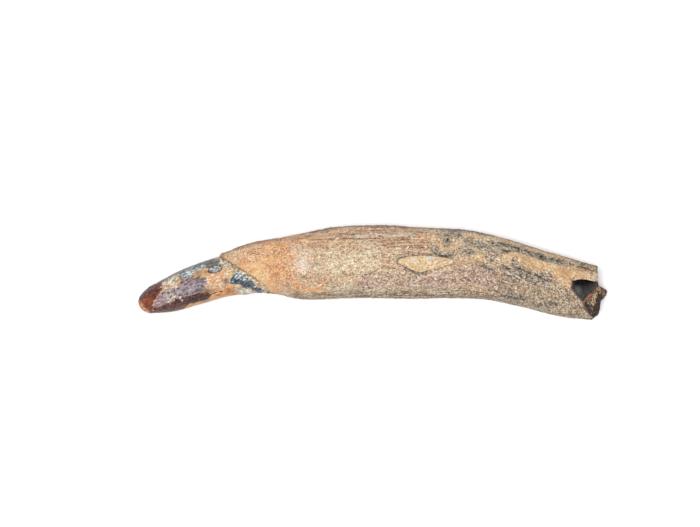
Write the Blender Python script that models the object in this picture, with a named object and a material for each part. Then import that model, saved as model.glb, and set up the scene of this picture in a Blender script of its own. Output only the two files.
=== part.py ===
"""A fossil whale tooth: a long, curved, slightly flattened tooth that lies on its side.

Lengths are in millimetres until the mesh is made. X runs from the worn tip of the crown to the broken root,
Y points to the convex side of the curve, and Z is up from the surface that the tooth lies on. Around each
cross-section the angle is 0 on top, 90 degrees on the convex side and -90 degrees on the concave side.
"""

import math

import bmesh
import bpy
from mathutils import Vector, noise

for old in list(bpy.data.objects):
    bpy.data.objects.remove(old)

MM = 0.001

# The outline seen from above: X, convex edge, concave edge
OUTLINE = (
    (-58.75, -4.9, -10.3),
    (-55.5, -3.55, -10.25),
    (-49.0, -0.1, -9.75),
    (-43.0, 2.4, -8.05),
    (-37.0, 4.5, -6.45),
    (-31.5, 6.45, -5.8),
    (-25.0, 8.4, -5.35),
    (-18.5, 9.7, -6.65),
    (-9.0, 11.0, -6.4),
    (3.0, 11.6, -6.6),
    (14.0, 11.0, -6.65),
    (24.0, 10.3, -6.45),
    (30.0, 9.3, -7.05),
    (38.0, 6.9, -9.05),
    (46.0, 4.6, -10.95),
    (54.0, 2.0, -11.9),
    (60.0, 0.4, -12.5),
)
TIP_X = -58.75
TIP_CAP = 3.0  # length of the rounded tip
DEPTH_SHARE = 0.93  # depth of a cross-section over its width

# How far the underside stands above the surface: X, gap. A gap below zero is worn flat there
UNDERSIDE = (
    (-58.75, 1.3),
    (-50.0, 0.4),
    (-44.0, -0.2),
    (-36.0, -0.2),
    (-24.0, 0.35),
    (-12.0, -0.28),
    (10.0, -0.28),
    (25.0, 0.4),
    (38.0, -0.25),
    (50.0, -0.25),
    (60.0, 0.3),
)

# The cement ends at a slanted ring round the crown's neck
CEMENT_MIDDLE_X = -32.0
CEMENT_SLANT = 5.6  # how far the ring leans towards the tip on the convex side
CEMENT_CURL = 1.0  # how far it is bent out of its plane
CEMENT_WANDER = 0.6  # how far it strays from that line
CEMENT_WANDER_SIZE = 3.2
CEMENT_STEP = 0.7
CEMENT_LIP = 0.35  # length over which the step falls
CEMENT_FADE = 5.0  # length over which the raised lip sinks back into the root

# Long, shallow grooves in the root: start X, end X, angle in degrees, width, depth
GROOVES = (
    (-30.0, 12.0, 62.0, 1.5, 0.34),
    (-14.0, 27.0, 42.0, 1.2, 0.22),
    (24.0, 55.0, 48.0, 1.3, 0.38),
    (28.0, 50.0, 8.0, 1.4, 0.34),
    (8.0, 40.0, -52.0, 1.6, 0.28),
    (-20.0, 34.0, -118.0, 2.0, 0.36),
    (-24.0, 44.0, 142.0, 2.0, 0.34),
    (12.0, 54.0, -160.0, 1.6, 0.34),
    (-26.0, 6.0, 104.0, 1.6, 0.26),
)
GROOVE_RUN_OUT = 6.0

# Shallow flakes lost from the cement: X, angle in degrees, half length, half width, depth
FLAKES = (
    (13.4, -1.0, 7.2, 1.9, 0.34),
    (-8.0, 168.0, 6.0, 2.6, 0.32),
    (30.0, 118.0, 5.0, 1.9, 0.30),
)
FLAKE_EDGE = 0.3  # share of the flake over which its edge falls

# Swellings and hollows of the whole surface
LUMP_SIZE = 11.0
LUMP_HEIGHT = 0.42
FLUTE_LENGTH = 30.0
FLUTE_WIDTH = 3.6
FLUTE_HEIGHT = 0.26

# The broken root: Y, X of the break seen from above
BREAK = (
    (-12.6, 54.3),
    (-11.6, 55.2),
    (-10.6, 56.4),
    (-9.5, 57.0),
    (-7.0, 57.1),
    (-4.2, 57.1),
    (-3.0, 56.6),
    (-1.8, 56.3),
    (2.6, 56.3),
)
BREAK_X = BREAK[-1][1]
BREAK_START_X = 48.0  # rings start to follow the break here
BREAK_ROUGHNESS = 0.35
BREAK_LUMP = 1.7
BREAK_SLICE = 31.0  # where the break's lumps are cut from the noise
KNOB = (-5.2, 4.0)  # Y and Z of the knob on the break
KNOB_HEIGHT = 1.75
KNOB_RADII = (1.5, 1.9)
KNOB_REACH = 1.6

# The chip in the root's top: two slopes that meet in a ridge, beside a wall along the convex side
CHIP_CORNER = Vector((49.75, -2.3, 12.45))
CHIP_FALL = Vector((0.889, 0.457))  # the way that the dark slope falls
RIDGE_START = Vector((53.25, -7.0))
RIDGE_WAY = Vector((0.756, 0.655))
DARK_SLOPE = 1.0
CORE_SLOPE = 0.9  # beyond the ridge, across it
CHIP_FAR = (46.0, 64.0, -18.0)  # low X, high X and low Y, all outside the tooth
CHIP_TOP = 24.0

# How finely the mesh follows the shape
SEGMENTS = 42
TIP_RINGS = 6
BODY_STEP = 1.55
END_RINGS = 7


def smooth(points, x, column=1):
    """Value at x of a smooth curve through points, whose first column rises."""
    last = len(points) - 2
    i = next((k for k in range(last) if x < points[k + 1][0]), last)

    def slope(k):
        low, high = points[max(k - 1, 0)], points[min(k + 1, last + 1)]
        return (high[column] - low[column]) / (high[0] - low[0])

    (x0, y0), (x1, y1) = ((p[0], p[column]) for p in points[i : i + 2])
    span = x1 - x0
    t = (x - x0) / span
    return (
        y0 * (1 + 2 * t) * (1 - t) ** 2
        + slope(i) * span * t * (1 - t) ** 2
        + y1 * t * t * (3 - 2 * t)
        + slope(i + 1) * span * t * t * (t - 1)
    )


def section(x):
    """Middle Y, middle Z, half width and half depth of the cross-section at x."""
    convex, concave = smooth(OUTLINE, x, 1), smooth(OUTLINE, x, 2)
    half = (convex - concave) / 2
    cap = min(max((TIP_X + TIP_CAP - x) / TIP_CAP, 0.0), 1.0)
    depth = half * DEPTH_SHARE
    middle_z = depth + smooth(UNDERSIDE, x)
    shrink = math.sqrt(1 - cap * cap)
    return (convex + concave) / 2, middle_z, half * shrink, depth * shrink


def on_section(x, angle):
    """The point of the smooth tooth at x and angle."""
    y, z, half_y, half_z = section(x)
    return Vector((x, y + half_y * math.sin(angle), z + half_z * math.cos(angle)))


def hump(distance, radius):
    """1 in the middle, and 0 from radius outwards."""
    return max(0.0, 1 - (distance / radius) ** 2) ** 2


def ramp(value, length):
    """Rises smoothly from 0 at value 0 to 1 at value length."""
    t = min(max(value / length, 0.0), 1.0)
    return t * t * (3 - 2 * t)


def around(angle, middle, half_width):
    """Distance in millimetres round the surface from the angle middle, given in degrees."""
    turn = (angle - math.radians(middle) + math.pi) % math.tau - math.pi
    return abs(turn) * half_width


def cement_distance(point, angle):
    """How far point is past the cement's edge. It is negative on the bare crown."""
    edge = CEMENT_MIDDLE_X - CEMENT_SLANT * math.sin(angle) - CEMENT_CURL * math.sin(2 * angle)
    return point.x - edge + CEMENT_WANDER * noise.noise(point / CEMENT_WANDER_SIZE)


def relief(point, angle, half_width):
    """How far the surface stands out of the smooth tooth: swellings, the cement's lip, grooves and flakes."""
    past_edge = cement_distance(point, angle)
    stretched = Vector((point.x / FLUTE_LENGTH, point.y / FLUTE_WIDTH, point.z / FLUTE_WIDTH))
    height = LUMP_HEIGHT * noise.noise(point / LUMP_SIZE)
    height += FLUTE_HEIGHT * noise.noise(stretched) * ramp(past_edge, CEMENT_FADE)
    lip = ramp(past_edge + CEMENT_LIP, 2 * CEMENT_LIP) - 0.5
    height += CEMENT_STEP * lip * math.exp(-abs(past_edge) / CEMENT_FADE)
    for start, end, middle, width, depth in GROOVES:
        ends = ramp(point.x - start, GROOVE_RUN_OUT) * ramp(end - point.x, GROOVE_RUN_OUT)
        height -= depth * ends * hump(around(angle, middle, half_width), width)
    for x, middle, half_length, width, depth in FLAKES:
        reach = math.hypot((point.x - x) / half_length, around(angle, middle, half_width) / width)
        height -= depth * ramp(1 - reach, FLAKE_EDGE)
    return height


def break_x(y, z):
    """X of the broken end at y and z."""
    knob = math.hypot((y - KNOB[0]) / KNOB_RADII[0], (z - KNOB[1]) / KNOB_RADII[1])
    rough = BREAK_ROUGHNESS * noise.noise(Vector((BREAK_SLICE, y / BREAK_LUMP, z / BREAK_LUMP)))
    return smooth(BREAK, y) + KNOB_HEIGHT * hump(knob, KNOB_REACH) + rough


def side_point(x, angle):
    """The tooth's surface at x, with its relief, or on the break where x is past it."""
    if x > BREAK_START_X:
        end = on_section(BREAK_X, angle)
        share = (x - BREAK_START_X) / (BREAK_X - BREAK_START_X)
        x = BREAK_START_X + share * (break_x(end.y, end.z) - BREAK_START_X)
    point = on_section(x, angle)
    y, z, half_y, half_z = section(x)
    if half_y > 0:
        outward = Vector((0, math.sin(angle) / half_y, math.cos(angle) / half_z)).normalized()
        tip_share = ramp(x - TIP_X, TIP_CAP)
        point += outward * relief(point, angle, half_y) * tip_share
    point.z = max(point.z, 0.0)
    return point


def ring_positions():
    """X of each ring of the side: crowded round the tip, then even up to the break."""
    for k in range(1, TIP_RINGS):
        yield TIP_X + TIP_CAP * (1 - math.cos(math.pi / 2 * k / TIP_RINGS))
    start, end = TIP_X + TIP_CAP, BREAK_X
    steps = round((end - start) / BODY_STEP)
    for k in range(steps + 1):
        yield start + (end - start) * k / steps


def tooth_rings():
    """Rings of points from the tip to the middle of the break."""
    angles = [math.tau * k / SEGMENTS for k in range(SEGMENTS)]
    rings = [[side_point(x, a) for a in angles] for x in ring_positions()]
    rim = rings[-1]
    middle_y, middle_z = section(BREAK_X)[:2]
    for k in range(1, END_RINGS):
        share = 1 - k / END_RINGS
        ring = []
        for p in rim:
            y = middle_y + share * (p.y - middle_y)
            z = middle_z + share * (p.z - middle_z)
            ring.append(Vector((break_x(y, z), y, z)))
        rings.append(ring)
    return rings, Vector((break_x(middle_y, middle_z), middle_y, middle_z))


def closed_mesh(name, rings, first, last):
    """A mesh of rings joined by quads, closed by a fan at the points first and last."""
    bm = bmesh.new()
    loops = [[bm.verts.new(p * MM) for p in ring] for ring in rings]
    ends = [bm.verts.new(p * MM) for p in (first, last)]
    count = len(rings[0])
    for k in range(count):
        n = (k + 1) % count
        bm.faces.new((ends[0], loops[0][n], loops[0][k]))
        bm.faces.new((ends[1], loops[-1][k], loops[-1][n]))
        for low, high in zip(loops, loops[1:]):
            bm.faces.new((low[k], low[n], high[n], high[k]))
    bmesh.ops.recalc_face_normals(bm, faces=bm.faces)
    mesh = bpy.data.meshes.new(name)
    bm.to_mesh(mesh)
    bm.free()
    return mesh


def chip_z(x, y):
    """Height of the chip's floor: the lower of the dark slope and the core's slope."""
    spot = Vector((x, y))
    dark = CHIP_CORNER.z - DARK_SLOPE * (spot - CHIP_CORNER.xy).dot(CHIP_FALL)
    ridge_z = CHIP_CORNER.z - DARK_SLOPE * (RIDGE_START - CHIP_CORNER.xy).dot(CHIP_FALL)
    across = Vector((RIDGE_WAY.y, -RIDGE_WAY.x))
    from_ridge = spot - RIDGE_START
    along = from_ridge.dot(RIDGE_WAY) * RIDGE_WAY.dot(CHIP_FALL) * DARK_SLOPE
    core = ridge_z - along - CORE_SLOPE * from_ridge.dot(across)
    return min(dark, core)


def chip_cutter():
    """The space that the chip takes: its floor has two faces, which meet along the ridge."""
    low_x, high_x, low_y = CHIP_FAR
    wall_y = CHIP_CORNER.y
    steep = RIDGE_WAY.y / RIDGE_WAY.x
    ridge_low = (low_x, RIDGE_START.y + steep * (low_x - RIDGE_START.x))
    ridge_high = (RIDGE_START.x + (wall_y - RIDGE_START.y) / steep, wall_y)
    rim = ((low_x, wall_y), ridge_low, (low_x, low_y), (high_x, low_y), (high_x, wall_y), ridge_high)
    bm = bmesh.new()
    floor = [bm.verts.new(Vector((x, y, chip_z(x, y))) * MM) for x, y in rim]
    roof = [bm.verts.new(Vector((x, y, CHIP_TOP)) * MM) for x, y in rim]
    bm.faces.new((floor[0], floor[1], floor[5]))
    bm.faces.new((floor[1], floor[2], floor[3], floor[4], floor[5]))
    bm.faces.new(roof)
    for k in range(len(rim)):
        n = (k + 1) % len(rim)
        bm.faces.new((floor[k], floor[n], roof[n], roof[k]))
    bmesh.ops.recalc_face_normals(bm, faces=bm.faces)
    mesh = bpy.data.meshes.new("chip_cutter")
    bm.to_mesh(mesh)
    bm.free()
    cutter = bpy.data.objects.new("chip_cutter", mesh)
    bpy.context.scene.collection.objects.link(cutter)
    cutter.hide_render = True
    cutter.display_type = "WIRE"
    return cutter


def fossil_material():
    """The orange-tan of the cement, which covers most of the tooth."""
    material = bpy.data.materials.new("fossil_cement")
    material.use_nodes = True
    shader = material.node_tree.nodes["Principled BSDF"]
    shader.inputs["Base Color"].default_value = (0.60, 0.41, 0.25, 1.0)
    shader.inputs["Roughness"].default_value = 0.7
    shader.inputs["Metallic"].default_value = 0.0
    return material


def make_tooth():
    """The tooth with its chip cut out of it, lying on the surface."""
    rings, break_middle = tooth_rings()
    tip_y, tip_z = section(TIP_X)[:2]
    mesh = closed_mesh("tooth", rings, Vector((TIP_X, tip_y, tip_z)), break_middle)
    tooth = bpy.data.objects.new("tooth", mesh)
    bpy.context.scene.collection.objects.link(tooth)
    mesh.materials.append(fossil_material())
    mesh.shade_smooth()
    chip = tooth.modifiers.new("chip", "BOOLEAN")
    chip.operation = "DIFFERENCE"
    chip.object = chip_cutter()
    return tooth


make_tooth()
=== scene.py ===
"""The looks of a fossil whale tooth: its fine surface and colours, with a studio floor, light and camera.

Lengths on the tooth are in millimetres, and become metres when its mesh is placed. X runs from the worn
tip to the broken root, Y points to the convex side of the curve, and Z is up. Outlines and lines on the
surface are places seen from above, an X and a Y each, and a Y past the tooth's own outline lies as far
beneath. Other places on the surface are an X and an angle round the section: 0 on top, 90 degrees on the
convex side, 180 beneath and -90 on the concave side. Colours are from 0 to 255, as they look in the picture.
"""

import math

import bpy
import numpy as np
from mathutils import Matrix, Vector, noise


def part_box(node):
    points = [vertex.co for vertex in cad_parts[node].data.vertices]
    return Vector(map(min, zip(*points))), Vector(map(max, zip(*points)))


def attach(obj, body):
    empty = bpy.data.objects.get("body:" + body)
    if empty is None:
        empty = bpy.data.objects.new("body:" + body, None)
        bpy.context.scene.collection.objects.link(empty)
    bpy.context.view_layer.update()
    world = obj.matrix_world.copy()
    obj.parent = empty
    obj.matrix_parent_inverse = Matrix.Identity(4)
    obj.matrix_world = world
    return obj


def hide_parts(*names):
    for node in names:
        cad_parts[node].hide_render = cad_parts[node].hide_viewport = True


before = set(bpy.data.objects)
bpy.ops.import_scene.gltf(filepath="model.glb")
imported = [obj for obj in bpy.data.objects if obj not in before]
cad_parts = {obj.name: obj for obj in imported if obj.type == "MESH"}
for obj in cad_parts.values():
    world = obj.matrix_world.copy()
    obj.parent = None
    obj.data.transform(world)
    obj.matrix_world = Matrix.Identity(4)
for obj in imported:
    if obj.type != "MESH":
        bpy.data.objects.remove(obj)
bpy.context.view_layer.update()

MM = 0.001
TINY = 0.001  # keeps a division from failing
SEED = 11

# The outline seen from above: X, convex edge, concave edge
OUTLINE = (
    (-58.75, -4.9, -10.3),
    (-55.5, -3.55, -10.25),
    (-49.0, -0.1, -9.75),
    (-43.0, 2.4, -8.05),
    (-37.0, 4.5, -6.45),
    (-31.5, 6.45, -5.8),
    (-25.0, 8.4, -5.35),
    (-18.5, 9.7, -6.65),
    (-9.0, 11.0, -6.4),
    (3.0, 11.6, -6.6),
    (14.0, 11.0, -6.65),
    (24.0, 10.3, -6.45),
    (30.0, 9.3, -7.05),
    (38.0, 6.9, -9.05),
    (46.0, 4.6, -10.95),
    (54.0, 2.0, -11.9),
    (60.0, 0.4, -12.5),
)
TIP_X = -58.75
TIP_CAP = 3.0  # length of the rounded tip
DEPTH_SHARE = 0.93  # depth of a cross-section over its width

# How far the underside stands above the surface: X, gap. A gap below zero is worn flat there
UNDERSIDE = (
    (-58.75, 1.3),
    (-50.0, 0.4),
    (-44.0, -0.2),
    (-36.0, -0.2),
    (-24.0, 0.35),
    (-12.0, -0.28),
    (10.0, -0.28),
    (25.0, 0.4),
    (38.0, -0.25),
    (50.0, -0.25),
    (60.0, 0.3),
)

# The cement ends at a slanted ring round the crown's neck
CEMENT_MIDDLE_X = -32.0
CEMENT_SLANT = 5.6  # how far the ring leans towards the tip on the convex side
CEMENT_CURL = 1.0  # how far it is bent out of its plane
CEMENT_WANDER = 0.6
CEMENT_WANDER_SIZE = 3.2
CEMENT_RAGGED = 0.35  # how far its edge wanders on a small scale
CEMENT_RAGGED_SIZE = 0.9
CEMENT_EDGE = 0.4  # width of the edge of its fine crust
CEMENT_STEP = 0.7
CEMENT_LIP = 0.3  # length over which the step falls
CEMENT_FADE = 5.0  # length over which the raised lip sinks back into the root

# Long, shallow grooves in the root: start X, end X, angle in degrees, width, depth
GROOVES = (
    (-30.0, 12.0, 62.0, 1.5, 0.34),
    (-14.0, 27.0, 42.0, 1.2, 0.22),
    (24.0, 55.0, 48.0, 1.3, 0.38),
    (28.0, 50.0, 8.0, 1.4, 0.34),
    (8.0, 40.0, -52.0, 1.6, 0.28),
    (-20.0, 34.0, -118.0, 2.0, 0.36),
    (-24.0, 44.0, 142.0, 2.0, 0.34),
    (12.0, 54.0, -160.0, 1.6, 0.34),
    (-26.0, 6.0, 104.0, 1.6, 0.26),
)
GROOVE_RUN_OUT = 6.0

# Swellings and hollows of the whole surface
LUMP_SIZE = 11.0
LUMP_HEIGHT = 0.42
FLUTE_SIZE = (30.0, 3.6, 3.6)
FLUTE_HEIGHT = 0.26

# The broken root: Y, X of the break seen from above
BREAK = (
    (-12.6, 54.3),
    (-11.6, 55.2),
    (-10.6, 56.4),
    (-9.5, 57.0),
    (-7.0, 57.1),
    (-4.2, 57.1),
    (-3.0, 56.6),
    (-1.8, 56.3),
    (2.6, 56.3),
)
BREAK_X = BREAK[-1][1]
BREAK_START_X = 48.0  # rings start to follow the break here
BREAK_ROUGHNESS = 0.35
BREAK_LUMP = 1.7
BREAK_SLICE = 31.0  # where the break's lumps are cut from the noise
KNOB = (-5.2, 4.0)  # Y and Z of the knob on the break
KNOB_HEIGHT = 1.75
KNOB_RADII = (1.5, 1.9)
KNOB_REACH = 1.6

# The chip in the root's top: two slopes that meet in a ridge, below a wall along the convex side
CHIP_CORNER = np.array((49.75, -2.3, 12.45))
CHIP_FALL = np.array((0.889, 0.457))  # the way that the dark slope falls
RIDGE_START = np.array((53.25, -7.0))
RIDGE_WAY = np.array((0.756, 0.655))
DARK_SLOPE = 1.0
CORE_SLOPE = 0.9  # beyond the ridge, across it
CHIP_RANGE_X = (48.4, 60.0)
CHIP_LOW_Y = -14.0
CHIP_TOP = 24.0
CHIP_WALL_BULGE = (52.2, 3.4, 0.55)  # X, half length and depth of the wall's hollow
CHIP_STEP = 0.22
CHIP_BLUNT = (48.9, -2.3, 1.7, 1.1)  # X, Y, reach and height of what is left standing in its corner
CHIP_WALL_POINTS = 46

# The fine mesh
SEGMENTS = 196
TIP_RINGS = 18
BODY_STEP = 0.27
END_RINGS = 34
SHARP_EDGE = math.radians(55)

FAR = 3.0  # distances to the edge of a patch are told apart up to here

# Patches of the surface, as outlines
PATCHES = {
    "maroon": (
        ((-62, 8), (-54.5, 8), (-52.6, -2.4), (-52.5, -4.2), (-53.6, -6), (-54.5, -7.2), (-54.9, -8.6),
         (-55, -9.9), (-54.5, -22), (-62, -22)),
    ),
    "ember": (
        ((-60, -7), (-58.4, -7.3), (-56.9, -8.9), (-56.1, -9.5), (-55.8, -10.2), (-57, -14), (-60, -14)),
    ),
    "wine": (
        ((-54.9, -9), (-53, -8.6), (-49, -6.8), (-45, -5.7), (-41, -4.9), (-40.2, -5.7), (-41, -6.7),
         (-43.5, -7.4), (-45.8, -8), (-46.7, -8.9), (-48.2, -9.9), (-50, -12), (-55.5, -12)),
    ),
    "dusk": (
        ((-47.3, -8.2), (-46, -6.8), (-43.5, -5.9), (-41.5, -5.5), (-40.4, -5.8), (-42.5, -7),
         (-45.5, -7.6)),
    ),
    "lilac": (
        ((-55.2, -9.5), (-54.5, -7.2), (-52.8, -5.2), (-51.5, -4.3), (-49.2, -4.2), (-47.5, -2.6),
         (-46.2, -1.9), (-44.8, -1.6), (-42, -1.4), (-41.3, -2), (-41.3, -3), (-41.8, -4), (-43, -5.2),
         (-45, -6), (-48, -7.2), (-51, -8.6)),
    ),
    "slate": (
        ((-54, 2), (-56.3, -4.2), (-52.3, -2.7), (-50.5, -1.7), (-48.4, -0.9), (-47.9, -2.4), (-46.5, -2),
         (-45, -1.3), (-43.8, 0.6), (-42.8, 0.9), (-41, 0.9), (-39.8, 0), (-38, 0.1), (-37.3, 1.2),
         (-37.2, 3), (-37.5, 8)),
    ),
    "chalk": (
        ((-52.4, -3.6), (-51.8, -2.6), (-50, -1.3), (-49.2, -0.8), (-48.4, -1), (-49, -2.8), (-48.5, -3.4),
         (-49.2, -3.9), (-50.2, -3.3), (-52, -4.2)),
        ((-50.3, -7.3), (-49.6, -7), (-49.1, -6), (-49.5, -6)),
        ((-48.3, -6.4), (-47.8, -6.2), (-47, -6.5), (-47.6, -6.8)),
        ((-34.2, -3.8), (-31.2, -4.3), (-29, -5), (-30, -6.6), (-33, -5.8)),
        ((-38, 3.3), (-36, 1.9), (-35.2, 1.2), (-35.6, 0.6), (-37.5, 1.8)),
    ),
    "web": (
        ((-53.1, -5.3), (-52.2, -4.2), (-50.3, -4), (-49.3, -6.2), (-50.2, -7.2), (-51.5, -7.9)),
        ((-34.2, -4), (-31.2, -4.5), (-29, -5), (-30, -5.6), (-33, -5.3)),
    ),
    # a painted bluish highlight on the slate band
    "ice": (
        ((-47.8, -0.9), (-47, 0), (-44.6, 0.7), (-42.6, 1.9), (-42, 1.5), (-44.2, 0.2), (-45.1, -1.2),
         (-46.2, -1.1), (-47.3, -1.3)),
    ),
    "olive": (
        ((-44, 0.2), (-43.4, 0.9), (-42.6, 0.8), (-42.5, -0.8), (-43.2, -1.3), (-43.9, -0.9)),
        ((-42.2, 0.7), (-40.9, 0.6), (-40.8, -0.1), (-41.9, -0.3)),
    ),
    "ring": (
        ((-40.9, 0.3), (-40.5, 1.1), (-39.4, 1.7), (-38.2, 1.7), (-37.6, 1.1), (-38, 0.4), (-39.2, -0.1),
         (-40.4, -0.1)),
    ),
    "flame": (
        ((-41.2, -1.2), (-40.6, -0.6), (-38.3, 0), (-37.4, -0.2), (-38.2, -1), (-40.4, -1.7)),
    ),
    "smoke": (
        ((-42.8, -4.8), (-41.8, -4), (-40.6, -4.3), (-40, -5), (-41.2, -5.2)),
        ((-37.8, -1.8), (-36.6, -1.2), (-35.9, -1.8), (-35.9, -2.8), (-36.8, -2.9)),
        ((-42.6, 2), (-41.2, 1.6), (-39, 2.2), (-37.8, 1.9), (-37.4, 3.2), (-38, 6), (-42.5, 5)),
    ),
    "amber": (
        ((-40.2, -6.1), (-38.6, -5.3), (-35.6, -3.7), (-34.4, -3.5), (-32, -4.8), (-31, -6.5), (-34, -9),
         (-40, -9)),
        ((-46.5, -8.1), (-45, -7.5), (-43, -7.1), (-40, -6.3), (-40, -9), (-46.5, -10)),
    ),
    "deposit": (
        ((-35.9, -2.4), (-35.3, -1.3), (-34, 0.2), (-32.4, 0.6), (-30.2, -1.5), (-29.4, -3.1),
         (-28.5, -3.8), (-26.9, -4.6), (-27.2, -7), (-28.6, -7), (-29, -5), (-30.3, -4.4), (-32.3, -4),
         (-33, -3.2), (-35.2, -3.1)),
    ),
    "coal": (
        ((-35.2, -2.8), (-33.8, -1.9), (-31.2, -2.1), (-30, -2.4), (-29.3, -3.3), (-30, -4), (-31.6, -4.1),
         (-33.2, -3.1)),
        ((-30.2, -4.2), (-28.4, -3.9), (-27.1, -4.5), (-27.3, -7), (-28.8, -7), (-29.4, -4.9)),
    ),
    "yellow": (
        ((-36.2, -0.9), (-35.7, -0.1), (-35, 0.1), (-34.5, -0.4), (-35.8, -1.4)),
    ),
    "warm": (
        ((-38, 3.8), (-37, 6), (-26, 8.5), (-17.5, 8.5), (-19.5, 4), (-17.8, 1), (-20, -1.5), (-22.5, -3.5),
         (-24, -5), (-27, -4), (-33, 1)),
        ((-20, -3), (-13, -3.2), (-13, -4.4), (-20, -4.6)),
    ),
    "smooth": (
        ((-34, 1.6), (-31.5, 2.2), (-28.5, 2.6), (-27.5, 1.8), (-25, -1.4), (-24.5, -3.4), (-25.2, -4.8),
         (-27.8, -1.8), (-31.4, 1)),
        ((-28, 2.4), (-28, 4), (-24, 4), (-24, 2)),
    ),
    "curls": (
        ((-37, 3.6), (-36, 5.2), (-33, 6.2), (-28, 6.2), (-27, 4.5), (-28, 2.9), (-31, 2.8), (-34.5, 2.4)),
    ),
    "pale": (
        ((-14, 4.5), (-9, 6.2), (-2, 6.8), (2, 6.5), (2, 1.5), (-3, -0.5), (-10, -0.5), (-14, 1)),
    ),
    "russet": (
        ((-28, 8), (-16.5, 6.8), (-9, 6.6), (-2, 7), (2, 6.8), (8, 5), (14, 4.2), (14, 8), (10, 12),
         (-4, 14), (-28, 10)),
    ),
    "copper": (
        ((-16.5, 6.5), (-16.5, 8.5), (-14, 8.5), (-14, 6.8)),
        ((2, 7), (2, 8.8), (8.3, 8.8), (8.3, 7.4)),
    ),
    "ash": (
        ((-5, 8.3), (-5, 9.9), (0, 9.9), (8.5, 9.9), (10.5, 9.8), (10.5, 8.5), (0, 9)),
        ((15, -3), (19, -3), (19, -5), (15, -5)),
        ((-12, -3.6), (6, -3.5), (6, -4.8), (-12, -4.8)),
    ),
    "mauve": (
        ((-4, -0.8), (8, -0.4), (20, 0.2), (24, 1.5), (30, 0.6), (33, -2.4), (33, -4.6), (20, -4.6),
         (-4, -4)),
    ),
    "brown": (
        ((33.5, -3.4), (34.5, -2.9), (36.4, -3), (37, -3.8), (36.2, -4.8), (34.8, -4.6)),
        ((22.5, 0.1), (24.5, 1.1), (27, 1.2), (29, 0.4), (26, -0.2)),
        ((27, -2.4), (30, -1.8), (32.4, -2.4), (32.6, -4.6), (30, -5.6), (27.5, -4.6)),
    ),
    "grey": (
        ((33, -2), (38, -2), (44, -2.4), (50, -4.5), (55, -11), (50, -14), (38, -9), (31, -8), (31, -4.5)),
    ),
    "tan": (
        ((15, 12), (14.5, 5), (22, 4), (30, 2), (38, 1), (45, -1), (45, 6), (24, 13)),
    ),
    "umber": (
        ((-20, -4.9), (-12, -5), (0, -4.9), (16, -4.8), (24, -4.8), (31, -5.4), (31, -9), (16, -8),
         (-20, -8)),
    ),
    "peach": (
        ((-12.5, 6.4), (-10, 7.6), (-6, 8.2), (-5, 7.4), (-8, 6.6)),
        ((16.5, 5.2), (17, 6.6), (19.5, 7.6), (21.5, 7.4), (22.6, 6.8), (20.5, 5.3), (18.5, 5)),
        ((23, 9.2), (24, 9.8), (28, 9), (30, 8.2), (26, 8.5)),
        ((12, 9.4), (15, 9.4), (16.8, 8.3), (17.2, 6.9), (15.6, 6.8), (13.5, 8.2), (12, 8.2)),
        ((24.5, 3.8), (26.5, 4.3), (28, 3.6), (28.6, 2.6), (27.6, 2.2), (25.4, 2.4)),
        ((32, 4), (33.6, 4.8), (36.8, 5.2), (38.2, 4.2), (41.2, 3.6), (44, 1.6), (43.8, 0.4), (40.5, 0.2),
         (38.4, 0.6), (36, 3.2), (34.6, 3.6), (34, 2.3), (33, 2)),
        ((44.5, 1.5), (48, 1.6), (53, 0.7), (55.4, -0.6), (54, -1.4), (50, -1.7), (48.8, -3.4),
         (47.4, -3.2), (44.8, -0.4)),
        ((37.5, -5.6), (39, -4.4), (39.1, -5.6), (38.6, -6.3), (37.8, -6.3)),
        ((29.5, 9.2), (34, 7.9), (42, 5.6), (49, 3.5), (49, 2.8), (42, 4.9), (38, 6.2), (33, 7.5)),
    ),
    "hot": (
        ((50.2, -1.7), (49.3, -1.9), (48.8, -2.8), (49, -3.6), (49.6, -3.8), (49.7, -2.8), (50.2, -2.3)),
    ),
    "raw": (
        ((54.3, -1.5), (55.2, -0.8), (56, -0.2), (56.2, -1.7), (55.4, -1.8)),
    ),
    # painted shade on the steep end of the wall beside the break
    "end": (
        ((55.6, 2.5), (55.7, 0.5), (55.9, -0.4), (57, -0.4), (57, 2.5)),
    ),
    "lens": (
        ((6.2, 2.4), (6.6, 3.2), (8.6, 3.8), (12, 4), (15.6, 3.9), (19.4, 3.4), (20.3, 2.7), (19.8, 2.2),
         (18.8, 1.8), (16.6, 1), (14, 0.6), (12, 0), (10.6, 0.2), (8.6, 1.2)),
    ),
    "snow": (
        ((14.2, 3.4), (14.6, 3.7), (15.2, 3.5), (15, 3.1), (14.4, 3)),
        ((15.8, 2.9), (16.2, 3.1), (16.5, 2.8), (16.1, 2.5)),
    ),
    "smudge": (
        ((16, 9.4), (21, 10.4), (22.5, 10), (22, 9.2), (20, 8.8), (17.5, 9)),
        ((14.6, 6.6), (15.8, 6.4), (16.2, 5), (17.5, 4.6), (20.2, 5.2), (20.6, 4), (19, 3.5), (16.5, 3.9),
         (15, 4.6)),
        ((17.8, 8.9), (19.2, 8.8), (19.4, 7.2), (18.6, 6.2), (17.8, 6.6)),
        ((22.8, 8.4), (27, 7.8), (28.6, 7.2), (28, 5.8), (26, 5.9), (24, 6.8)),
        ((21.4, 6), (23.5, 6.2), (25.6, 5.6), (25.4, 4.4), (23.6, 4.4), (21.6, 4.9)),
        ((27.6, 4.4), (29, 4.6), (30.6, 3.6), (30, 2.4), (28.6, 2.6)),
        ((28.6, 8), (34, 7.1), (37, 6.1), (44.5, 3.6), (48.2, 2.7), (47.8, 2.2), (44, 2.9), (42.5, 2.8),
         (37.4, 4.6), (35.6, 5.8), (30, 7)),
        ((28.6, 5.8), (34.8, 5.6), (34.6, 4.7), (31, 4.5)),
        ((32, 1.4), (34.2, 2.6), (34.9, 3.5), (36.2, 1.9), (38.4, 0.7), (41, -0.2), (44.2, -0.4),
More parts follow.
